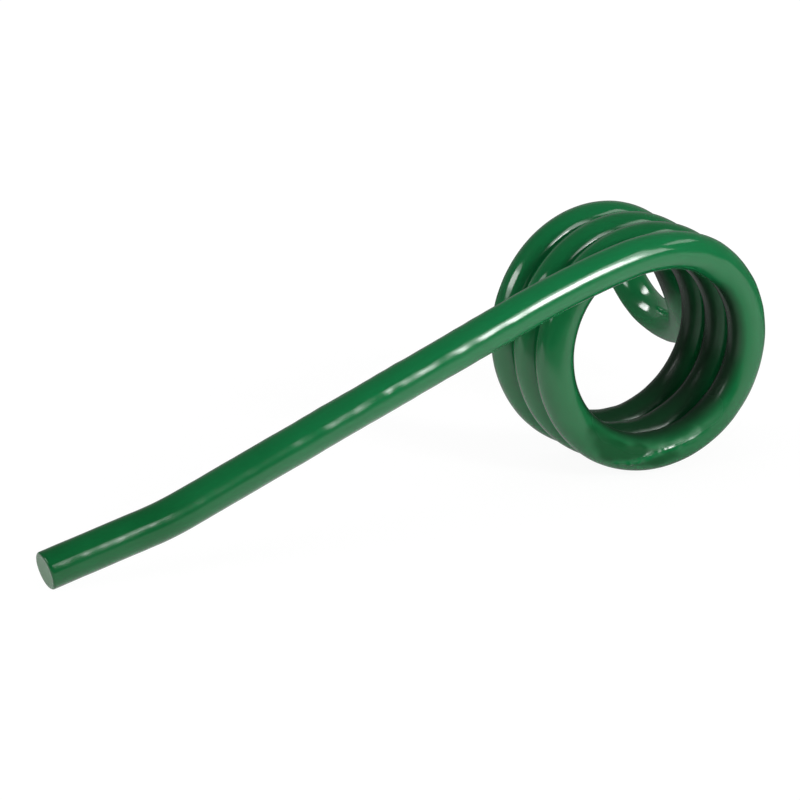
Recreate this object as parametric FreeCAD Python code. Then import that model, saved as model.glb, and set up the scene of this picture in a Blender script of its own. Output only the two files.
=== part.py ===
import FreeCAD, Part
import math
import os

# Baler pick-up tine: one piece of round spring wire.
# Seen from its front, the wire runs up the leg, is wound clockwise into a coil and leaves the coil's
# back as an open hook. All sizes are in millimetres and all angles in degrees.
#
# Frame: the origin lies on the coil's axis, where the first full turn begins. +Y runs along the axis
# from the front turn, which carries the leg, to the hook. +Z is up. The tine lies as it comes to rest,
# on the coil and on the tip of the leg, and the leg points along -X.

# Wire
wire_diameter = 6.0
end_break = 0.35                # small chamfer on the cropped ends

# Coil
coil_inner_diameter = 27.7
coil_turns = 3.136              # full turns, without the run-out to the leg
turn_gaps = (0.3, 0.55, 0.75, 1.45) # free gap beside the wire after 0, 1, 2 and 3 turns
arcs_per_turn = 6

# Leg and its run-out from the coil
leg_slope = 21.2                # how far the leg leans down
leg_sweep = 1.85                # how far the leg leans back, towards the hook's side
leg_length = 61.5
bow_angle = 8.5                 # the leg's first gentle bow
bow_radius = 132.0
run_out_angle = 23.5            # the tighter stretch between the bow and the first turn
run_out_radius = 24.3

# Tip, set up from the line of the leg
tip_angle = 7.7
tip_bend_radius = 45.0
tip_length = 17.6

# Hook at the coil's back
hook_angle = 90.0
hook_radius = 25.1
hook_lean = 7.7                 # the hook's plane leans out from the coil's axis
lip_angle = 30.0                # the hook's last bend, which lifts its end
lip_radius = 15.0
lip_twist = 20.6                # turn of the bending plane between the two bends
lip_length = 9.0

# Sizes that follow from them
coil_radius = (coil_inner_diameter + wire_diameter) / 2
first_turn_angle = bow_angle + run_out_angle - leg_slope
coil_arcs = max(round(coil_turns * arcs_per_turn), 1)
coil_arc_angle = coil_turns * 360 / coil_arcs


def pitch_after(turns):
    """Advance per turn at a place along the coil: the wire and the gap, which changes evenly between turns."""
    last = len(turn_gaps) - 1
    whole = min(int(turns), last - 1)
    gap = turn_gaps[whole] + (turn_gaps[whole + 1] - turn_gaps[whole]) * min(turns - whole, 1.0)
    return wire_diameter + gap


def coil_rise(turns):
    """Rise along the axis for each millimetre between the corners of the coil's arcs.

    The corners lie outside the turns, so the way round them is longer by tan(half) / half."""
    half = math.radians(coil_arc_angle / 2)
    return pitch_after(turns) / (2 * math.pi * coil_radius) * half / math.tan(half)


def heading(angle, rise):
    """Direction of the wire: angle is turned clockwise from +X, seen from the front; rise is along +Y."""
    turned = math.radians(angle)
    direction = FreeCAD.Vector(math.cos(turned), rise, -math.sin(turned))
    return direction.normalize()


def tangent_length(old, new, radius):
    """Distance from the corner of two headings to either end of the arc that rounds it."""
    return radius * math.tan(old.getAngle(new) / 2)


def add_straight(edges, start, direction, length):
    """Straight run of wire. Gives its end."""
    end = start + direction * length
    edges.append(Part.LineSegment(start, end).toShape())
    return end


def add_arc(edges, start, old, new, tangent):
    """Arc that leaves start along the old heading and arrives along the new one, so it meets both
    neighbours without a kink. Gives its end."""
    corner = start + old * tangent
    end = corner + new * tangent
    half_turn = old.getAngle(new) / 2
    radius = tangent / math.tan(half_turn)
    inward = (new - old).normalize()
    middle = corner + inward * (radius / math.cos(half_turn) - radius)
    edges.append(Part.Arc(start, middle, end).toShape())
    return end


def add_leg(edges, start):
    """From the first turn back to the tip: run-out in two arcs, bow, straight leg, bend and tip."""
    coil_start = coil_rise(0)
    leg_rise = -math.tan(math.radians(leg_sweep))
    run_out_and_bow = run_out_angle + bow_angle

    def backwards(angle):
        share = (angle + leg_slope) / run_out_and_bow
        return heading(angle, leg_rise + (coil_start - leg_rise) * share) * -1

    bow_start = bow_angle - leg_slope
    stops = (
        (first_turn_angle - run_out_angle / 2, run_out_radius),
        (bow_start, run_out_radius),
        (-leg_slope, bow_radius),
    )
    place = start
    old = backwards(first_turn_angle)
    for angle, radius in stops:
        new = backwards(angle)
        place = add_arc(edges, place, old, new, tangent_length(old, new, radius))
        old = new

    place = add_straight(edges, place, old, leg_length)
    upward = FreeCAD.Vector(0, 0, 1)
    level = old.cross(upward)
    new = FreeCAD.Rotation(level, tip_angle).multVec(old)
    place = add_arc(edges, place, old, new, tangent_length(old, new, tip_bend_radius))
    add_straight(edges, place, new, tip_length)


def add_coil(edges, start):
    """The turns, as arcs that touch each other. Gives the coil's end, its heading and its angle."""
    place = start
    old = heading(first_turn_angle, coil_rise(0))
    for number in range(1, coil_arcs + 1):
        turned = number * coil_arc_angle
        rise = coil_rise(turned / 360)
        new = heading(first_turn_angle + turned, rise)
        in_plan = coil_radius * math.tan(math.radians(coil_arc_angle / 2))
        place = add_arc(edges, place, old, new, in_plan * math.hypot(1, rise))
        old = new
    return place, old, first_turn_angle + turned


def add_hook(edges, start, direction, angle):
    """From the last turn: a wide bend backwards, a shorter one that lifts the end, and the straight lip."""
    turned = math.radians(angle)
    inward = FreeCAD.Vector(-math.sin(turned), 0, -math.cos(turned))
    inward = (inward - direction * inward.dot(direction)).normalize()
    backward = direction.cross(inward)
    lean = math.radians(hook_lean)
    side = backward * math.cos(lean) - inward * math.sin(lean)

    place = start
    for bend, radius, twist in ((hook_angle, hook_radius, 0.0), (lip_angle, lip_radius, lip_twist)):
        side = FreeCAD.Rotation(direction, twist).multVec(side)
        bending = FreeCAD.Rotation(direction.cross(side), bend)
        new = bending.multVec(direction)
        place = add_arc(edges, place, direction, new, tangent_length(direction, new, radius))
        side = bending.multVec(side)
        direction = new
    add_straight(edges, place, direction, lip_length)


def wire_path():
    """Centre line of the whole tine, from the tip to the lip."""
    turned = math.radians(first_turn_angle)
    start = FreeCAD.Vector(coil_radius * math.sin(turned), 0, coil_radius * math.cos(turned))
    edges = []
    add_leg(edges, start)
    end, direction, angle = add_coil(edges, start)
    add_hook(edges, end, direction, angle)
    return Part.Wire(Part.__sortEdges__(edges))


def make_tine():
    """The round section carried along the centre line, with its two cropped ends broken."""
    path = wire_path()
    end_edge = path.OrderedEdges[0]
    end = path.OrderedVertexes[0].Point
    along = end_edge.tangentAt(end_edge.FirstParameter)
    section = Part.Wire(Part.makeCircle(wire_diameter / 2, end, along))
    tine = path.makePipeShell([section], True, False)
    ends = [face for face in tine.Faces if isinstance(face.Surface, Part.Plane)]
    tine = tine.makeChamfer(end_break, [face.Edges[0] for face in ends])
    return tine, path


tine, path = make_tine()
os.makedirs("parts", exist_ok=True)
tine.exportStep("parts/pickup_tine.step")

section_area = math.pi * wire_diameter ** 2 / 4
print("length of wire:", round(path.Length, 1), "mm")
print("volume against section times length:", round(tine.Volume / (section_area * path.Length), 4))
print("valid:", tine.isValid(), "solids:", len(tine.Solids), "faces:", len(tine.Faces))
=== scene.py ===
# %% [markdown]
# # A baler pick-up tine in green enamel
#
# A pick-up tine combs the swath of hay off the ground and into the baler. It is one length of spring
# wire: a long straight leg, a coil that lets the leg give way when it strikes a stone, and a hooked end
# that keeps the coil from turning on its bar. The CAD model already has that shape as one solid.
# This lesson dresses it: it lays a finer painted surface over the same centre line, gives it its
# dipped enamel, and sets up the studio that the paint mirrors.

import math

import bpy
import numpy as np
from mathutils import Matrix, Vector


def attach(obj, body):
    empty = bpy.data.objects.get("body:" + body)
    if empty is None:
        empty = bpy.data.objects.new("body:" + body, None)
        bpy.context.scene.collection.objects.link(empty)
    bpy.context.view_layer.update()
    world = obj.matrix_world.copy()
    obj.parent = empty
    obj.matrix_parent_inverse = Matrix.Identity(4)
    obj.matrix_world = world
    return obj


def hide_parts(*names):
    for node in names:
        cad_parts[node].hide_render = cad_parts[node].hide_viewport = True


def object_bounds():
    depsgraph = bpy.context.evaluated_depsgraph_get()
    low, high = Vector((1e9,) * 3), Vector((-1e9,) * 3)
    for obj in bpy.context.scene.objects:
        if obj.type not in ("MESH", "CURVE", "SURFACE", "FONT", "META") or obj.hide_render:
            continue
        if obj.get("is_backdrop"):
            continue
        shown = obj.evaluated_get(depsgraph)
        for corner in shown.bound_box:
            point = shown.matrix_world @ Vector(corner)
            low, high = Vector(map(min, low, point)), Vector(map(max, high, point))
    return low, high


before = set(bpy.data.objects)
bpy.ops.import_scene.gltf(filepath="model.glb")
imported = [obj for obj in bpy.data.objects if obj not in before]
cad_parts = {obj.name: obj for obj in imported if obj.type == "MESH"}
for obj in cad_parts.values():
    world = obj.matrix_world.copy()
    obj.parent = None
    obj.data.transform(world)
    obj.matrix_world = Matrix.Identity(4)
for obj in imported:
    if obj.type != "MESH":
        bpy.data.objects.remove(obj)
cad_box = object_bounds()
print("CAD box in metres:", [[round(float(value), 4) for value in corner] for corner in cad_box])

# %% [markdown]
# ## The wire's driving sizes
#
# The painted surface has to lie exactly where the CAD solid lies, because that solid is what the
# physics uses. The simplest way to be sure is to work the surface out from the same few sizes: the
# wire, the coil, the leg with its bow, the set tip and the hook. Lengths are in metres here and
# angles in degrees, as a bender's setting sheet would give them.

# %% Sizes of the bent wire
WIRE_RADIUS = 0.003
COIL_RADIUS = 0.01685
COIL_TURNS = 3.136
TURN_GAPS = (0.0003, 0.00055, 0.00075, 0.00145)
ARCS_PER_TURN = 6

LEG_SLOPE, LEG_SWEEP, LEG_LENGTH = 21.2, 1.85, 0.0615
BOW_ANGLE, BOW_RADIUS = 8.5, 0.132
RUN_OUT_ANGLE, RUN_OUT_RADIUS = 23.5, 0.0243
TIP_ANGLE, TIP_BEND_RADIUS, TIP_LENGTH = 7.7, 0.045, 0.0176

HOOK_ANGLE, HOOK_RADIUS, HOOK_LEAN = 90.0, 0.0251, 7.7
LIP_ANGLE, LIP_RADIUS, LIP_TWIST, LIP_LENGTH = 30.0, 0.015, 20.6, 0.009

FIRST_TURN_ANGLE = BOW_ANGLE + RUN_OUT_ANGLE - LEG_SLOPE
COIL_ARCS = max(round(COIL_TURNS * ARCS_PER_TURN), 1)
COIL_ARC_ANGLE = COIL_TURNS * 360 / COIL_ARCS
print("the coil is", COIL_ARCS, "arcs of", round(COIL_ARC_ANGLE, 2), "degrees")

# %% [markdown]
# ## Headings
#
# A wire bender thinks in headings: feed, turn, feed. Here a heading is a unit vector. `heading`
# gives the direction of the wire at an angle turned clockwise from the right, seen from the front,
# with a little rise along the coil's axis. `turned` rotates a vector about an axis, which is all
# that a bend does to a direction.

# %% Helpers for directions


def unit(vector):
    """A vector of length one along the given one."""
    return vector / np.linalg.norm(vector)


def heading(angle, rise):
    """Direction of the wire: (cosine, rise, minus sine) of the angle, made length one."""
    radians = np.radians(angle)
    return unit(np.array([np.cos(radians), rise, -np.sin(radians)]))


def turned(vector, axis, angle):
    """Rotation about an axis: the part along the axis stays and the rest turns by the angle."""
    axis, radians = unit(axis), np.radians(angle)
    along = axis * (axis @ vector)
    return along + (vector - along) * np.cos(radians) + np.cross(axis, vector) * np.sin(radians)


def angle_between(old, new):
    """Angle in radians from the lengths of the cross product and the dot product."""
    return np.arctan2(np.linalg.norm(np.cross(old, new)), old @ new)


def tangent_length(old, new, radius):
    """From the corner of two headings to where its rounding begins: radius times tan of half the turn."""
    return radius * np.tan(angle_between(old, new) / 2)


# %% [markdown]
# ## Straight runs and bends that carry a side vector
#
# A round section looks the same however it is turned about the wire, but its grid of points doesn't:
# if the grid twists, so do the fine marks of the paint. So every run also carries a side vector,
# which stays square to the wire. On a straight run it stays as it is. In a bend the part that lies in
# the bend's plane turns with the wire, and the part along the bend's axis stays. Nothing twists.

# %% The two kinds of run
STATION_SPACING = 0.0006


def station_count(length):
    return max(int(math.ceil(length / STATION_SPACING)), 2) + 1


def straight(start, direction, side, length):
    """Points: start + direction * distance. Heading and side are the same all along."""
    distance = np.linspace(0.0, length, station_count(length))[:, None]
    ones = np.ones_like(distance)
    return start + direction * distance, ones * direction, ones * side


def bend(start, old, new, side, tangent):
    """Points: start + radius * (sin(turn) * old + (1 - cos(turn)) * inward).
    Heading: cos(turn) * old + sin(turn) * inward. The side keeps its share of axis and of inward."""
    whole_turn = angle_between(old, new)
    radius = tangent / np.tan(whole_turn / 2)
    inward = unit(new - old * (old @ new))
    axis = np.cross(old, inward)
    turn = np.linspace(0.0, whole_turn, station_count(radius * whole_turn))[:, None]
    points = start + radius * (np.sin(turn) * old + (1 - np.cos(turn)) * inward)
    headings = np.cos(turn) * old + np.sin(turn) * inward
    inward_now = np.cos(turn) * inward - np.sin(turn) * old
    return points, headings, inward_now * (side @ inward) + axis * (side @ axis)


def follow(runs, run):
    """Adds a run and gives its end: place, heading and side."""
    runs.append(run)
    return run[0][-1], run[1][-1], run[2][-1]


# %% [markdown]
# ## The coil
#
# The turns lie almost against each other, with a hair of air that grows towards the back. Each arc of
# the coil is a piece of a circle, and the corner points between arcs climb along the axis. Their way
# round is longer than the circle's by tan(half) / half, so the climb is divided by as much.

# %% Wind the coil


def coil_rise(turns):
    """Climb per metre between corners: (wire + gap here) / circumference, over tan(half) / half."""
    gap = np.interp(turns, np.arange(len(TURN_GAPS)), TURN_GAPS)
    half = np.radians(COIL_ARC_ANGLE / 2)
    return (2 * WIRE_RADIUS + gap) / (2 * np.pi * COIL_RADIUS) * half / np.tan(half)


first = np.radians(FIRST_TURN_ANGLE)
coil_start = COIL_RADIUS * np.array([np.sin(first), 0.0, np.cos(first)])
coil_heading = heading(FIRST_TURN_ANGLE, coil_rise(0))
outward = unit(coil_start - coil_heading * (coil_start @ coil_heading))

coil_runs = []
place, direction, side = coil_start, coil_heading, outward
for number in range(1, COIL_ARCS + 1):
    turned_so_far = number * COIL_ARC_ANGLE
    rise = coil_rise(turned_so_far / 360)
    new = heading(FIRST_TURN_ANGLE + turned_so_far, rise)
    in_plan = COIL_RADIUS * np.tan(np.radians(COIL_ARC_ANGLE / 2))
    tangent = in_plan * np.hypot(1, rise)
    place, direction, side = follow(coil_runs, bend(place, direction, new, side, tangent))
print("the coil ends", np.round(place * 1000, 1), "mm")

# %% [markdown]
# ## The hooked end
#
# Behind the coil the wire turns away from the turns with a wide bend, so that the hook can reach
# over the edge of the tine bar, and a shorter bend lifts its end into a lip. The two bends lie in
# different planes: the side that each bends towards is turned about the wire first.

# %% Bend the hook and its lip
hook_runs = []
coil_end = np.radians(FIRST_TURN_ANGLE + COIL_ARCS * COIL_ARC_ANGLE)
inward = np.array([-np.sin(coil_end), 0.0, -np.cos(coil_end)])
inward = unit(inward - direction * (inward @ direction))
lean = np.radians(HOOK_LEAN)
towards = np.cross(direction, inward) * np.cos(lean) - inward * np.sin(lean)
for bend_angle, radius, twist in ((HOOK_ANGLE, HOOK_RADIUS, 0.0), (LIP_ANGLE, LIP_RADIUS, LIP_TWIST)):
    towards = turned(towards, direction, twist)
    axis = np.cross(direction, towards)
    new = turned(direction, axis, bend_angle)
    tangent = tangent_length(direction, new, radius)
    place, direction, side = follow(hook_runs, bend(place, direction, new, side, tangent))
    towards = turned(towards, axis, bend_angle)
place, direction, side = follow(hook_runs, straight(place, direction, side, LIP_LENGTH))
print("the lip ends", np.round(place * 1000, 1), "mm")

# %% [markdown]
# ## The leg and its set tip
#
# The leg is laid out from the coil outwards: a tight run-out in two arcs, a long gentle bow, the
# straight leg and the tip, which is set up a little from the leg's line. The runs are then turned
# end for end, so that the whole wire reads from the tip to the lip.

# %% Lay out the leg


def leg_heading(angle):
    """Heading away from the coil. The rise goes evenly from the coil's own to the leg's sweep."""
    leg_rise = -np.tan(np.radians(LEG_SWEEP))
    share = (angle + LEG_SLOPE) / (RUN_OUT_ANGLE + BOW_ANGLE)
    return -heading(angle, leg_rise + (coil_rise(0) - leg_rise) * share)


leg_runs = []
place, direction, side = coil_start, leg_heading(FIRST_TURN_ANGLE), outward
for angle, radius in (
    (FIRST_TURN_ANGLE - RUN_OUT_ANGLE / 2, RUN_OUT_RADIUS),
    (BOW_ANGLE - LEG_SLOPE, RUN_OUT_RADIUS),
    (-LEG_SLOPE, BOW_RADIUS),
):
    new = leg_heading(angle)
    tangent = tangent_length(direction, new, radius)
    place, direction, side = follow(leg_runs, bend(place, direction, new, side, tangent))
place, direction, side = follow(leg_runs, straight(place, direction, side, LEG_LENGTH))
new = turned(direction, np.cross(direction, [0.0, 0.0, 1.0]), TIP_ANGLE)
tangent = tangent_length(direction, new, TIP_BEND_RADIUS)
place, direction, side = follow(leg_runs, bend(place, direction, new, side, tangent))
place, direction, side = follow(leg_runs, straight(place, direction, side, TIP_LENGTH))
print("the tip ends", np.round(place * 1000, 1), "mm")

# %% Join the runs from the tip to the lip
reversed_leg = [(run[0][::-1], -run[1][::-1], run[2][::-1]) for run in leg_runs[::-1]]
joined = [reversed_leg[0]] + [tuple(part[1:] for part in run) for run in reversed_leg[1:] + coil_runs + hook_runs]
centres, headings, sides = (np.concatenate([run[part] for run in joined]) for part in range(3))
steps = np.linalg.norm(np.diff(centres, axis=0), axis=1)
distances = np.concatenate([[0.0], np.cumsum(steps)])
print(len(centres), "stations along", round(distances[-1] * 1000, 1), "mm of wire")

# %% [markdown]
# ## Cropped ends
#
# The wire was cropped to length before it was wound, and the crop's edge was only knocked off. A
# section that shrinks at the end of the tube makes that: the last stations stand close together and
# their radius follows the broken edge, then the flat face down to its middle. The face is a little
# dished, as a sheared wire's is, and one vertex closes it.

# %% Stations of a cropped end
EDGE_BREAK = 0.00035
FACE_DISH = 0.00006
EDGE_STEPS = 6
FACE_RINGS = np.array([0.93, 0.82, 0.66, 0.48, 0.3, 0.14])


def cropped_end():
    """Distance in from the end and radius, from the face's middle out to the wall.
    Face: distance = dish * (1 - share squared). Edge: a quarter circle of the break's radius."""
    flat_radius = WIRE_RADIUS - EDGE_BREAK
    face_radius = flat_radius * FACE_RINGS[::-1]
    face_depth = FACE_DISH * (1 - (face_radius / flat_radius) ** 2)
    corner = np.linspace(0.0, np.pi / 2, EDGE_STEPS + 1)
    edge_radius = flat_radius + EDGE_BREAK * np.sin(corner)
    edge_depth = EDGE_BREAK * (1 - np.cos(corner))
    return np.concatenate([face_depth, edge_depth]), np.concatenate([face_radius, edge_radius])


depth, radius = cropped_end()
on_wall = (distances > EDGE_BREAK * 1.5) & (distances < distances[-1] - EDGE_BREAK * 1.5)
tip_centres = centres[0] + headings[0] * depth[:, None]
lip_centres = (centres[-1] - headings[-1] * depth[:, None])[::-1]
all_centres = np.concatenate([tip_centres, centres[on_wall], lip_centres])
all_headings = np.concatenate([np.tile(headings[0], (len(depth), 1)), headings[on_wall], np.tile(headings[-1], (len(depth), 1))])
all_sides = np.concatenate([np.tile(sides[0], (len(depth), 1)), sides[on_wall], np.tile(sides[-1], (len(depth), 1))])
all_radii = np.concatenate([radius, np.full(on_wall.sum(), WIRE_RADIUS), radius[::-1]])
all_distances = np.concatenate([depth, distances[on_wall], (distances[-1] - depth)[::-1]])
print(len(all_radii), "stations with both ends")

# %% [markdown]
# ## The paint's own surface
#
# The tine is dipped, so its enamel is not a perfect tube. It draws into long soft waves as it runs
# off, and it is a touch thicker underneath, where it last dripped. The waves are only hundredths of a
# millimetre, but a gloss paint mirrors its lamps, and a mirror shows such waves at once: they break a
# highlight into dashes. They are worked into the mesh as a sum of sine waves.

# %% Waves in the enamel
AROUND = 96
WAVE_SEED = 7
LONG_WAVES, SHORT_WAVES = 0.000012, 0.000009
MORE_AT_BOTTOM = 3.0
MORE_ON_LEG = 2.4


def enamel_waves(points, wavelength, height, count, seed):
    """Sum of sine waves with seeded directions over a sphere and seeded phases, each height / sqrt(count)."""
    source = np.random.default_rng(seed)
    directions = source.normal(size=(count, 3))
    directions /= np.linalg.norm(directions, axis=1)[:, None]
    lengths = wavelength * source.uniform(0.7, 1.5, count)
    phases = source.uniform(0.0, 2 * np.pi, count)
    waves = points @ (directions / lengths[:, None]).T * 2 * np.pi + phases
    return np.sin(waves).sum(axis=-1) * height / np.sqrt(count)


angles = np.linspace(0.0, 2 * np.pi, AROUND, endpoint=False)
across = np.cross(all_headings, all_sides)
spokes = np.cos(angles)[None, :, None] * all_sides[:, None] + np.sin(angles)[None, :, None] * across[:, None]
bare = all_centres[:, None] + spokes * all_radii[:, None, None]

coil_begins = distances[sum(len(run[0]) - 1 for run in leg_runs)]
in_coil = np.clip((all_distances - coil_begins) / 0.012, 0.0, 1.0) * np.clip((0.026 - all_centres[:, 1]) / 0.004, 0.0, 1.0)
away_from_axis = bare[..., [0, 2]] / np.linalg.norm(bare[..., [0, 2]], axis=-1, keepdims=True)
facing_axis = -(spokes[..., [0, 2]] * away_from_axis).sum(axis=-1)
low_in_coil = np.clip((-0.008 - bare[..., 2]) / 0.005, 0.0, 1.0) * in_coil[:, None]
gathered = low_in_coil * np.clip(facing_axis + 0.3, 0.0, 1.0)

short_waves = enamel_waves(bare, 0.0035, SHORT_WAVES, 32, WAVE_SEED + 1)
lively = np.interp(all_distances, (0.040, 0.050, 0.078, 0.090, 0.108, 0.116, 0.132, 0.142), (0, 1, 1, 0, 0, 1.3, 1.3, 0))
short_waves *= (1.0 + (MORE_ON_LEG - 1.0) * lively)[:, None]
film = enamel_waves(bare, 0.009, LONG_WAVES, 24, WAVE_SEED) + short_waves
film *= (1.0 + MORE_AT_BOTTOM * gathered) * (all_radii / WIRE_RADIUS)[:, None] ** 4
RUN_DISTANCES = (0.153, 0.157, 0.1606, 0.1629, 0.1646, 0.1664, 0.1681, 0.170, 0.173)
RUN_ANGLES = (104.0, 109.0, 114.0, 115.0, 111.0, 102.0, 89.0, 76.0, 62.0)
RUN_SHARES = (0.0, 0.35, 0.55, 0.6, 0.75, 1.0, 1.2, 1.25, 0.0)
RUN_HEIGHT, RUN_HALF_WIDTH = 0.00023, 0.00045
run_angle = np.radians(np.interp(all_distances, RUN_DISTANCES, RUN_ANGLES))
from_crest = (angles[None, :] - run_angle[:, None]) * WIRE_RADIUS / RUN_HALF_WIDTH
run_share = np.interp(all_distances, RUN_DISTANCES, RUN_SHARES)[:, None]
run_of_paint = run_share * np.exp(-from_crest ** 2)
lumps = np.clip(0.75 + 0.6 * enamel_waves(all_centres, 0.0026, 1.0, 12, WAVE_SEED + 2), 0.15, 1.5)
film += RUN_HEIGHT * run_of_paint * lumps[:, None]
surface = bare + spokes * film[:, :, None]
print("enamel relief from", round(film.min() * 1e6, 1), "to", round(film.max() * 1e6, 1), "micrometres")

# %% [markdown]
# ## From a grid to a mesh
#
# The surface is now a grid: stations along the wire by places around it. Each cell becomes a quad,
# the last column joins the first, and a fan closes each end. The faces are worked out as whole
# arrays of vertex numbers. A UV map in millimetres goes with them, along the wire and around it.

# %% Faces and UV map of the painted wire
rows = len(surface)
index = np.arange(rows * AROUND).reshape(rows, AROUND)
beside = np.roll(index, -1, axis=1)
quads = np.stack([index[:-1], beside[:-1], beside[1:], index[1:]], axis=-1).reshape(-1, 4)
tip_pole, lip_pole = rows * AROUND, rows * AROUND + 1
tip_fan = np.stack([np.full(AROUND, tip_pole), beside[0], index[0]], axis=-1)
lip_fan = np.stack([np.full(AROUND, lip_pole), index[-1], beside[-1]], axis=-1)
poles = np.stack([centres[0] + headings[0] * FACE_DISH, centres[-1] - headings[-1] * FACE_DISH])
vertices = np.concatenate([surface.reshape(-1, 3), poles])

corner_vertices = np.concatenate([quads.ravel(), tip_fan.ravel(), lip_fan.ravel()])
face_sizes = np.concatenate([np.full(len(quads), 4), np.full(2 * AROUND, 3)])
face_starts = np.concatenate([[0], np.cumsum(face_sizes)[:-1]])

around_mm = np.arange(AROUND + 1) / AROUND * 2 * np.pi * WIRE_RADIUS * 1000
along_mm = all_distances * 1000
station_of = np.arange(rows - 1).repeat(AROUND)
place_of = np.tile(np.arange(AROUND), rows - 1)
quad_u = along_mm[np.stack([station_of, station_of, station_of + 1, station_of + 1], axis=-1)]
quad_v = around_mm[np.stack([place_of, place_of + 1, place_of + 1, place_of], axis=-1)]
fan_places = np.arange(AROUND)
tip_uv = np.stack([[along_mm[0]] * AROUND * 1, around_mm[fan_places]], axis=-1)
fan_v = np.stack([around_mm[fan_places], around_mm[fan_places + 1], around_mm[fan_places]], axis=-1)
lip_fan_v = np.stack([around_mm[fan_places], around_mm[fan_places], around_mm[fan_places + 1]], axis=-1)
uv_u = np.concatenate([quad_u.ravel(), np.full(fan_v.size, along_mm[0]), np.full(fan_v.size, along_mm[-1])])
uv_v = np.concatenate([quad_v.ravel(), fan_v.ravel(), lip_fan_v.ravel()])
print(len(quads), "quads and", 2 * AROUND, "triangles")

# %% Build the mesh
mesh = bpy.data.meshes.new("enamelled_wire")
mesh.vertices.add(len(vertices))
mesh.vertices.foreach_set("co", vertices.ravel())
mesh.loops.add(len(corner_vertices))
mesh.loops.foreach_set("vertex_index", corner_vertices)
mesh.polygons.add(len(face_sizes))
mesh.polygons.foreach_set("loop_start", face_starts)
mesh.polygons.foreach_set("use_smooth", np.ones(len(face_sizes), bool))
uv_map = mesh.uv_layers.new(name="wire_mm")
uv_map.data.foreach_set("uv", np.stack([uv_u, uv_v], axis=-1).ravel())
mesh.update(calc_edges=True)
mesh.validate()

first_turn = np.interp(all_distances, (0.185, 0.195), (1.0, 0.0))[:, None]
# towards_axis marks the inside of the coil: there the green is painted darker, a painted shade, and the paint is
# duller and less glossy.
towards_axis = np.clip(facing_axis + (0.3 - 0.36 * first_turn) * low_in_coil, 0.0, 1.0) * in_coil[:, None]
# Painted light: along the leg, its run-out and the hook the green is painted brighter, where more light falls. A low
# share also makes the paint less glossy, most of all at the tip.
along_wire = np.array([0.0, 0.020, 0.045, 0.080, 0.112, 0.145, 0.410, 0.430, 0.470, 0.490])
film_and_light_share = np.array([0.0, 0.0, 0.45, 0.75, 0.8, 0.34, 0.34, 0.6, 0.6, 0.2])
film_and_painted_light = np.interp(all_distances, along_wire, film_and_light_share)[:, None] * np.ones(AROUND)
# Painted shade: a ragged patch low inside the front turn, off the run of paint, is painted a darker green and made
# less glossy. It stands in for the darker reflection there.
pool_shape = 1.0 - ((all_distances[:, None] - 0.1700) / 0.0100) ** 2 - ((np.degrees(angles)[None, :] - 98.0) / 50.0) ** 2
ragged = enamel_waves(bare, 0.003, 0.35, 16, WAVE_SEED + 3)
off_the_run = 1.0 - np.clip(2.0 * run_of_paint, 0.0, 1.0)
paint_pool_and_shade = np.clip(1.6 * (pool_shape + ragged), 0.0, 1.0) * off_the_run
dried_dull = gathered * first_turn * off_the_run
for name, values in (
    ("inside_coil", towards_axis),
    ("gathered_paint", gathered),
    ("film_and_painted_light", film_and_painted_light),
    ("dried_dull", dried_dull),
    ("run_of_paint", np.clip(run_of_paint, 0.0, 1.0)),
    ("paint_pool_and_shade", paint_pool_and_shade),
):
    mark = mesh.attributes.new(name, "FLOAT", "POINT")
    mark.data.foreach_set("value", np.concatenate([values.ravel(), [0.0, 0.0]]))

cropped = mesh.attributes.new("cropped_face", "FLOAT", "POINT")
on_face = np.clip((0.9 - all_radii / WIRE_RADIUS) / 0.2, 0.0, 1.0)
cropped.data.foreach_set("value", np.concatenate([on_face.repeat(AROUND), [1.0, 1.0]]))

tine = bpy.data.objects.new("enamelled_wire", mesh)
bpy.context.scene.collection.objects.link(tine)
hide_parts("pickup_tine")
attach(tine, "root")
print("mesh of", len(mesh.polygons), "faces, volume side out:", mesh.polygons[0].normal @ mesh.polygons[0].center != 0)

# %% [markdown]
# ## Green enamel
#
# Farm spares like this are dipped in a glossy enamel. Under a lamp it has a hard, narrow highlight, so
# its roughness is low. Close up it has three kinds of irregularity, each made with noise in Object
# coordinates at its real size: a slight mottle in the colour where the film is thin or thick, patches
# that are a shade duller, and the fine dimples of orange peel. An attribute on the mesh marks the
# cropped faces, and there the green is paler, greyer and duller. Some of the green is painted light
# and shade: it is painted darker inside the coil's bore and in a patch low in the front turn, and
# brighter along the leg and on the hook.

# %% Helpers for material nodes


def material(name):
    """A new material with only a Principled shader and its output. Gives its nodes, links and shader."""
    made = bpy.data.materials.new(name)
    made.use_nodes = True
    nodes, links = made.node_tree.nodes, made.node_tree.links
    nodes.clear()
    shader = nodes.new("ShaderNodeBsdfPrincipled")
    output = nodes.new("ShaderNodeOutputMaterial")
    links.new(shader.outputs["BSDF"], output.inputs["Surface"])
    return made, nodes, links, shader


def noise(nodes, links, coordinates, per_metre, detail=2.0, roughness=0.5):
    """Noise with so many waves to the metre, from Object coordinates."""
    node = nodes.new("ShaderNodeTexNoise")
    node.inputs["Scale"].default_value = per_metre
    node.inputs["Detail"].default_value = detail
    node.inputs["Roughness"].default_value = roughness
    links.new(coordinates, node.inputs["Vector"])
    return node.outputs["Fac"]


def spread(nodes, links, value, low, high, to_low, to_high):
    """Stretches low..high of a value to to_low..to_high, held at both ends."""
    node = nodes.new("ShaderNodeMapRange")
    for name, number in (("From Min", low), ("From Max", high), ("To Min", to_low), ("To Max", to_high)):
        node.inputs[name].default_value = number
    links.new(value, node.inputs["Value"])
    return node.outputs["Result"]


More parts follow.
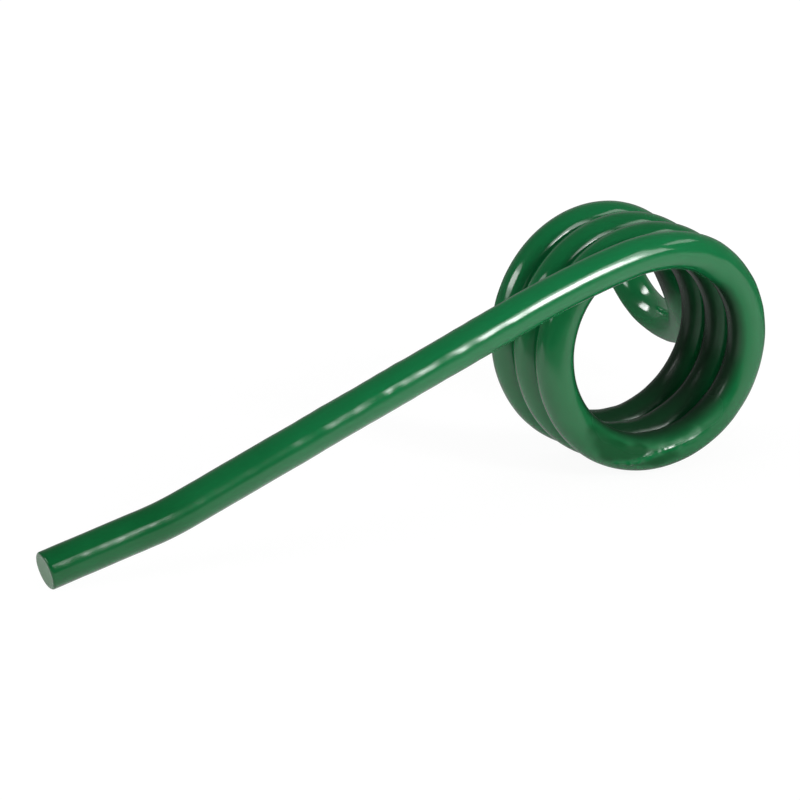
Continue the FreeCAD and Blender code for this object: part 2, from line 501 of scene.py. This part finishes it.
def blend_colours(nodes, links, share, first_colour, second_colour):
    """Mixes two colours, each a linear RGBA value or a socket, by a share."""
    node = nodes.new("ShaderNodeMix")
    node.data_type = "RGBA"
    links.new(share, node.inputs["Factor"])
    for socket, colour in ((node.inputs[6], first_colour), (node.inputs[7], second_colour)):
        if isinstance(colour, tuple):
            socket.default_value = colour
        else:
            links.new(colour, socket)
    return node.outputs[2]


def added(nodes, links, first_value, second_value):
    """Sum of two values, held between 0 and 1."""
    node = nodes.new("ShaderNodeMath")
    node.operation = "ADD"
    node.use_clamp = True
    links.new(first_value, node.inputs[0])
    links.new(second_value, node.inputs[1])
    return node.outputs["Value"]


def times(nodes, links, first_value, second_value):
    """Product of two values."""
    node = nodes.new("ShaderNodeMath")
    node.operation = "MULTIPLY"
    for socket, value in zip(node.inputs, (first_value, second_value)):
        if isinstance(value, float):
            socket.default_value = value
        else:
            links.new(value, socket)
    return node.outputs["Value"]


# %% The enamel
DEEP_GREEN = (0.0038, 0.101, 0.027, 1.0)
FRESH_GREEN = (0.0054, 0.127, 0.036, 1.0)
# painted light: the brighter green where more light falls
PAINTED_LIGHT_GREEN = (0.0080, 0.190, 0.060, 1.0)
# painted shade: the darker green of the coil's bore
BORE_SHADE_GREEN = (0.0115, 0.037, 0.0175, 1.0)
# painted shade: the darker green of the patch low in the front turn
POOL_SHADE_GREEN = (0.0042, 0.078, 0.022, 1.0)
CROPPED_GREEN = (0.100, 0.215, 0.120, 1.0)

enamel, nodes, links, shader = material("green_enamel")
position = nodes.new("ShaderNodeTexCoord").outputs["Object"]
mottle = spread(nodes, links, noise(nodes, links, position, 95.0, 3.0, 0.55), 0.32, 0.68, 0.0, 1.0)
green = blend_colours(nodes, links, mottle, DEEP_GREEN, FRESH_GREEN)
# Painted light: the next blend makes the green brighter along the leg, its run-out and the hook.
film_and_light_mark = nodes.new("ShaderNodeAttribute")
film_and_light_mark.attribute_name = "film_and_painted_light"
green = blend_colours(nodes, links, film_and_light_mark.outputs["Fac"], green, PAINTED_LIGHT_GREEN)
face_mark = nodes.new("ShaderNodeAttribute")
face_mark.attribute_name = "cropped_face"
inside_mark = nodes.new("ShaderNodeAttribute")
inside_mark.attribute_name = "inside_coil"
pool_mark = nodes.new("ShaderNodeAttribute")
pool_mark.attribute_name = "paint_pool_and_shade"
# Painted shade: the ragged patch low in the front turn is painted a darker green.
pool_shade_depth = spread(nodes, links, pool_mark.outputs["Fac"], 0.0, 1.0, 0.0, 1.0)
green = blend_colours(nodes, links, pool_shade_depth, green, POOL_SHADE_GREEN)
gathered_mark = nodes.new("ShaderNodeAttribute")
gathered_mark.attribute_name = "gathered_paint"
# Painted shade: inside the coil's bore, facing its axis, the green is painted darker where the turns shade it, a
# little less so low in the bore.
painted_bore_shade = spread(nodes, links, inside_mark.outputs["Fac"], 0.5, 0.92, 0.0, 1.0)
less_bore_shade = spread(nodes, links, gathered_mark.outputs["Fac"], 0.2, 1.0, 1.0, 0.86)
painted_bore_shade = times(nodes, links, painted_bore_shade, less_bore_shade)
green = blend_colours(nodes, links, painted_bore_shade, green, BORE_SHADE_GREEN)
colour = blend_colours(nodes, links, face_mark.outputs["Fac"], green, CROPPED_GREEN)
links.new(colour, shader.inputs["Base Color"])

patches = spread(nodes, links, noise(nodes, links, position, 160.0, 3.0), 0.35, 0.7, 0.09, 0.17)
dull_inside = spread(nodes, links, inside_mark.outputs["Fac"], 0.3, 0.9, 0.0, 0.11)
dull_face = spread(nodes, links, face_mark.outputs["Fac"], 0.0, 1.0, 0.0, 0.3)
dull_mark = nodes.new("ShaderNodeAttribute")
dull_mark.attribute_name = "dried_dull"
dull_gathered = spread(nodes, links, dull_mark.outputs["Fac"], 0.1, 0.6, 0.0, 0.22)
dullness = added(nodes, links, dull_inside, added(nodes, links, dull_face, dull_gathered))
roughness = added(nodes, links, patches, dullness)
links.new(roughness, shader.inputs["Roughness"])

peel = nodes.new("ShaderNodeBump")
peel.inputs["Strength"].default_value = 0.15
peel.inputs["Distance"].default_value = 0.00003
links.new(noise(nodes, links, position, 520.0, 1.0), peel.inputs["Height"])
wrinkles = nodes.new("ShaderNodeBump")
wrinkles.inputs["Distance"].default_value = 0.00012
links.new(gathered_mark.outputs["Fac"], wrinkles.inputs["Strength"])
links.new(noise(nodes, links, position, 600.0, 0.0), wrinkles.inputs["Height"])
links.new(peel.outputs["Normal"], wrinkles.inputs["Normal"])
links.new(wrinkles.outputs["Normal"], shader.inputs["Normal"])

gloss_inside = spread(nodes, links, inside_mark.outputs["Fac"], 0.1, 0.7, 1.0, 0.4)
gloss_of_film = spread(nodes, links, film_and_light_mark.outputs["Fac"], 0.0, 0.3, 0.32, 0.5)
gloss_gathered = spread(nodes, links, dull_mark.outputs["Fac"], 0.1, 0.6, 1.0, 0.45)
gloss_of_pool = spread(nodes, links, pool_mark.outputs["Fac"], 0.0, 1.0, 1.0, 0.36)
gloss_gathered = times(nodes, links, gloss_gathered, gloss_of_pool)
gloss = times(nodes, links, times(nodes, links, gloss_inside, gloss_of_film), gloss_gathered)
run_mark = nodes.new("ShaderNodeAttribute")
run_mark.attribute_name = "run_of_paint"
on_run = spread(nodes, links, run_mark.outputs["Fac"], 0.05, 0.3, 0.0, 1.0)
specks = spread(nodes, links, noise(nodes, links, position, 760.0, 1.0), 0.45, 0.57, 0.08, 0.95)
speckled = nodes.new("ShaderNodeMix")
speckled.inputs["A"].default_value = 1.0
links.new(on_run, speckled.inputs["Factor"])
links.new(specks, speckled.inputs["B"])
gloss = times(nodes, links, gloss, speckled.outputs["Result"])
links.new(gloss, shader.inputs["Specular IOR Level"])
shader.inputs["IOR"].default_value = 1.6
mesh.materials.append(enamel)
print("enamel with", len(nodes), "nodes")

# %% [markdown]
# ## The table and the room
#
# The photograph shows the tine on plain white, with no edge or horizon. The camera sees the table as
# white, but a little of the table's true shading is left in, so that the tine still stands on its
# shadow. Glossy paint must mirror that white too, so glossy rays see it as well, brightest close by,
# where the lamps shine on the table. Above the table the room is dim.

# %% A white table that keeps the shadow
TABLE_HEIGHT = float(cad_box[0][2])
TABLE_HALF = 4.0
SHADOW_SHARE = 0.12
SHADOW_CENTRE = (-0.03, 0.02)
SHADOW_REACH, SHADOW_END = 0.05, 0.13

corners = np.array([[-1, -1, 0], [1, -1, 0], [1, 1, 0], [-1, 1, 0]]) * TABLE_HALF
table_mesh = bpy.data.meshes.new("white_table")
table_mesh.from_pydata((corners + [0, 0, TABLE_HEIGHT]).tolist(), [], [(0, 1, 2, 3)])
table = bpy.data.objects.new("white_table", table_mesh)
bpy.context.scene.collection.objects.link(table)
table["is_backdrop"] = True

paper, nodes, links, shader = material("white_paper")
shader.inputs["Base Color"].default_value = (0.84, 0.84, 0.84, 1.0)
shader.inputs["Roughness"].default_value = 0.9
shader.inputs["Specular IOR Level"].default_value = 0.0
# The paper also glows a little: painted light that adds to the light the table bounces onto the tine's undersides.
shader.inputs["Emission Color"].default_value = (1.0, 1.0, 1.0, 1.0)
shader.inputs["Emission Strength"].default_value = 0.15
output = next(node for node in nodes if node.type == "OUTPUT_MATERIAL")
light_path = nodes.new("ShaderNodeLightPath")


def along(nodes, links, coordinates, direction):
    """Distance along a direction: the dot product of the coordinates with it."""
    node = nodes.new("ShaderNodeVectorMath")
    node.operation = "DOT_PRODUCT"
    node.inputs[1].default_value = direction
    links.new(coordinates, node.inputs[0])
    return node.outputs["Value"]


def distance_to(nodes, links, coordinates, place):
    """Distance from a place."""
    node = nodes.new("ShaderNodeVectorMath")
    node.operation = "DISTANCE"
    node.inputs[1].default_value = place
    links.new(coordinates, node.inputs[0])
    return node.outputs["Value"]


AWAY_FROM_CAMERA = (0.497, 0.868, 0.0)
BAND_BRIGHTNESS = 0.78
BAND_FRONT, BAND_FRONT_END, BEYOND_FRONT = -0.065, -0.125, 0.30
BAND_BACK, BAND_BACK_END, BEYOND_BACK = 0.0, 0.07, 0.12
COIL_SHADOW_LEVEL, COIL_SHADOW_REACH, COIL_SHADOW_END = 0.35, 0.008, 0.033

# Painted light and shadow for glossy rays: the table's white is brightest in a band close in front of the tine, a
# painted pool of lamplight. It is darker under the coil, a painted shadow of the coil.
place_on_table = nodes.new("ShaderNodeTexCoord").outputs["Object"]
depth_in_view = along(nodes, links, place_on_table, AWAY_FROM_CAMERA)
front_part = spread(nodes, links, depth_in_view, BAND_FRONT_END, BAND_FRONT, BEYOND_FRONT, 1.0)
back_part = spread(nodes, links, depth_in_view, BAND_BACK, BAND_BACK_END, 1.0, BEYOND_BACK)
from_coil = distance_to(nodes, links, place_on_table, (0.004, 0.010, TABLE_HEIGHT))
painted_coil_shadow = spread(nodes, links, from_coil, COIL_SHADOW_REACH, COIL_SHADOW_END, COIL_SHADOW_LEVEL, 1.0)
lit = times(nodes, links, times(nodes, links, front_part, back_part), painted_coil_shadow)
band = times(nodes, links, lit, BAND_BRIGHTNESS)
seen_directly = added(nodes, links, light_path.outputs["Is Camera Ray"], light_path.outputs["Is Transmission Ray"])
strength = added(nodes, links, seen_directly, band)
white = nodes.new("ShaderNodeEmission")
links.new(times(nodes, links, strength, 1.04), white.inputs["Strength"])
from_tine = distance_to(nodes, links, place_on_table, (SHADOW_CENTRE[0], SHADOW_CENTRE[1], TABLE_HEIGHT))
near_tine = spread(nodes, links, from_tine, SHADOW_REACH, SHADOW_END, SHADOW_SHARE, 0.0)
shading = times(nodes, links, near_tine, seen_directly)
plain_white = nodes.new("ShaderNodeMixShader")
links.new(shading, plain_white.inputs["Fac"])
links.new(white.outputs["Emission"], plain_white.inputs[1])
links.new(shader.outputs["BSDF"], plain_white.inputs[2])
seen = added(nodes, links, seen_directly, light_path.outputs["Is Glossy Ray"])
choose = nodes.new("ShaderNodeMixShader")
links.new(seen, choose.inputs["Fac"])
links.new(shader.outputs["BSDF"], choose.inputs[1])
links.new(plain_white.outputs["Shader"], choose.inputs[2])
links.new(choose.outputs["Shader"], output.inputs["Surface"])
table_mesh.materials.append(paper)
print("table at", round(TABLE_HEIGHT * 1000, 2), "mm")

# %% The room around the table
ROOM_FILL = 0.4
ROOM_DARKEST, ROOM_FAR_WALL = 0.032, 0.304

world = bpy.data.worlds.new("studio")
bpy.context.scene.world = world
world.use_nodes = True
nodes, links = world.node_tree.nodes, world.node_tree.links
nodes.clear()
light_path = nodes.new("ShaderNodeLightPath")
seen_directly = added(nodes, links, light_path.outputs["Is Camera Ray"], light_path.outputs["Is Transmission Ray"])
room_direction = nodes.new("ShaderNodeTexCoord").outputs["Generated"]
into_picture = along(nodes, links, room_direction, AWAY_FROM_CAMERA)
turned_to_wall = spread(nodes, links, into_picture, -1.0, 1.0, 0.0, 1.0)
cubed = nodes.new("ShaderNodeMath")
cubed.operation = "POWER"
cubed.inputs[1].default_value = 3.0
links.new(turned_to_wall, cubed.inputs[0])
walls = spread(nodes, links, cubed.outputs["Value"], 0.0, 1.0, ROOM_DARKEST, ROOM_FAR_WALL)
height_in_room = along(nodes, links, room_direction, (0.0, 0.0, 1.0))
walls = times(nodes, links, walls, spread(nodes, links, height_in_room, 0.3, 0.7, 1.0, 0.5))
fill_or_walls = nodes.new("ShaderNodeMix")
fill_or_walls.inputs["A"].default_value = ROOM_FILL
links.new(light_path.outputs["Is Glossy Ray"], fill_or_walls.inputs["Factor"])
links.new(walls, fill_or_walls.inputs["B"])
strength = added(nodes, links, seen_directly, fill_or_walls.outputs["Result"])
background = nodes.new("ShaderNodeBackground")
background.inputs["Color"].default_value = (1.0, 1.0, 1.0, 1.0)
links.new(strength, background.inputs["Strength"])
output = nodes.new("ShaderNodeOutputWorld")
links.new(background.outputs["Background"], output.inputs["Surface"])
print("room with", len(nodes), "nodes")

# %% [markdown]
# ## Lamps
#
# A polished wire shows where every lamp stands. The long streak on the leg's bow is a tall soft light
# to the right of the camera. The short bright streak at the back of the coil and the one inside its
# right side are a smaller light on the left, and a weak third one further right lights the top of the
# first turn. Each is an area lamp at a stated direction and distance, turned to the tine.

# %% Soft lights
from mathutils import Matrix, Vector


def soft_light(name, aim, azimuth, elevation, distance, width, height, radiance, tilt=0.0, shape="RECTANGLE"):
    """Area lamp seen from the aim at a compass direction: azimuth 180 is the front, 270 the left.
    Width and height are the angles it fills, in degrees. Its power is radiance * pi * area."""
    lamp = bpy.data.lights.new(name, "AREA")
    lamp.shape = shape
    lamp.size, lamp.size_y = (2 * distance * math.tan(math.radians(angle / 2)) for angle in (width, height))
    area = lamp.size * lamp.size_y * (math.pi / 4 if shape == "ELLIPSE" else 1.0)
    lamp.energy = radiance * math.pi * area
    thing = bpy.data.objects.new(name, lamp)
    azimuth, elevation = math.radians(azimuth), math.radians(elevation)
    away = Vector((
        math.cos(elevation) * math.sin(azimuth),
        math.cos(elevation) * math.cos(azimuth),
        math.sin(elevation),
    ))
    facing = away.to_track_quat("Z", "Y").to_matrix() @ Matrix.Rotation(math.radians(tilt), 3, "Z")
    thing.matrix_world = Matrix.Translation(Vector(aim) + away * distance) @ facing.to_4x4()
    bpy.context.scene.collection.objects.link(thing)
    return thing


MIDDLE = (-0.03, 0.01, 0.0)
soft_light("key_light", MIDDLE, 162.9, 24.5, 1.2, 13, 19.9, 20.0, 16)
key_glow = soft_light("key_light_glow", MIDDLE, 158.3, 27.8, 1.25, 23.5, 35.5, 3.9, 16)
soft_light("light_left", MIDDLE, 275, 34.4, 3.0, 32, 14, 5.0, 6)
left_glow = soft_light("light_left_glow", MIDDLE, 274, 34.4, 3.1, 38, 30, 2.8, 6, "ELLIPSE")
key_glow.visible_diffuse = left_glow.visible_diffuse = False
soft_light("weak_light_far_right", MIDDLE, 116, 41, 3.0, 30, 8, 2.4)
print("five lamps round the table")

# %% Two small lamps for the hook
HOOK_TOP = (0.0277, 0.0477, -0.0077)
for name, azimuth, elevation, length, width, tilt in (
    ("high_sparkle", 24.5, 55.3, 34, 9.5, 22),
    ("low_sparkle", 334.4, 19.5, 27, 5.5, 118),
):
    sparkle = soft_light(name, HOOK_TOP, azimuth, elevation, 0.025, length, width, 1.4, tilt, "ELLIPSE")
    sparkle.data.spread = math.radians(60)
    sparkle.visible_camera = False
    sparkle.visible_diffuse = False
print("two sparkles on the hook")

# %% [markdown]
# ## Camera
#
# The photograph was taken from the front and the left, a little above the tine, with a long lens: the
# leg's tip comes towards the camera and the coil shows its open front.

# %% Place the camera
camera_data = bpy.data.cameras.new("photo_camera")
camera_data.sensor_width = 36.0
camera_data.lens = 200.17
camera_data.clip_start, camera_data.clip_end = 0.01, 50.0
camera = bpy.data.objects.new("photo_camera", camera_data)
eye = Vector((-0.365818, -0.556647, 0.210875))
forward = Vector((0.47188, 0.8246, -0.31204)).normalized()
right = Vector((0.86764, -0.49719, -0.00181)).normalized()
up = right.cross(forward)
camera.matrix_world = Matrix.Translation(eye) @ Matrix((right, up, -forward)).transposed().to_4x4()
bpy.context.scene.collection.objects.link(camera)
bpy.context.scene.camera = camera
bpy.context.scene.view_settings.view_transform = "Standard"

# %% [markdown]
# ## Finish
#
# The painted wire must be the size of the CAD solid, so both boxes are measured and compared.

# %% Compare both boxes and finish
scene_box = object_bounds()
boxes = {
    "cad": [[float(value) for value in corner] for corner in cad_box],
    "visual": [[float(value) for value in corner] for corner in scene_box],
}
growth = [round((b - a) * 1000, 3) for a, b in zip(boxes["cad"][1], boxes["visual"][1])]
print("upper corner moved by", growth, "mm")
